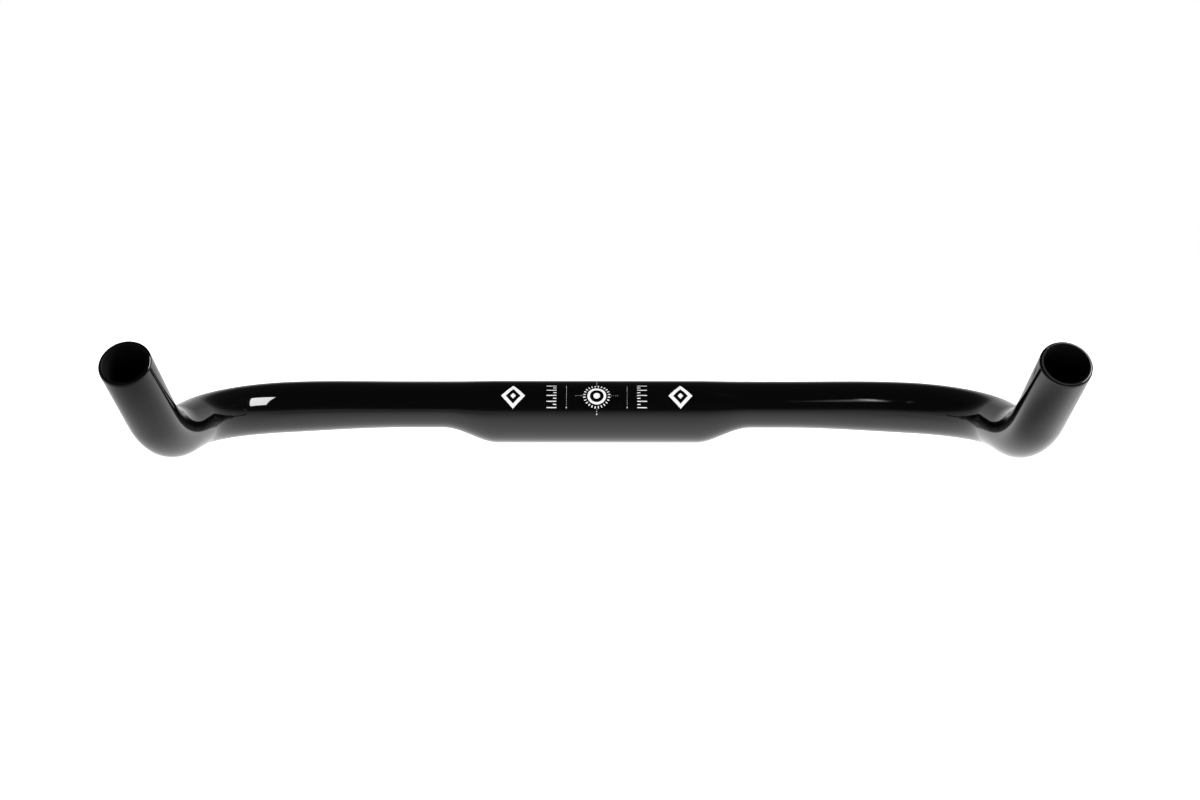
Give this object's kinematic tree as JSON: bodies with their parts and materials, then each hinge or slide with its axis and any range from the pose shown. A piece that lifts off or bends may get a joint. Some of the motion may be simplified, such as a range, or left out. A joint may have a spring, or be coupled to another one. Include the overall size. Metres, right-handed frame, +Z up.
{
  "type": "bullhorn handlebar",
  "caption": "Bullhorn bicycle handlebar: one bent tube with a round stem clamp, oval tops and forward horns that rise to open ends.",
  "frame": {"origin": "centre of the stem clamp, on its axis, midway between the horns", "axes": "+X along the clamp towards the rider's left horn, -Y forward, the way the horns point, +Z up off the plane that the clamp and both rising bends rest on"},
  "size_m": [0.4364, 0.167, 0.0584],
  "materials": {
    "gloss_black": "gloss black coat, smooth and highly reflective",
    "white_ink": "thin white printed film, semi gloss"
  },
  "bodies": {
    "root": {"handlebar_tube": "gloss_black", "target_transfer": "white_ink", "left_scale_transfer": "white_ink", "right_scale_transfer": "white_ink", "left_diamond_transfer": "white_ink", "right_diamond_transfer": "white_ink"}
  },
  "joints": []
}
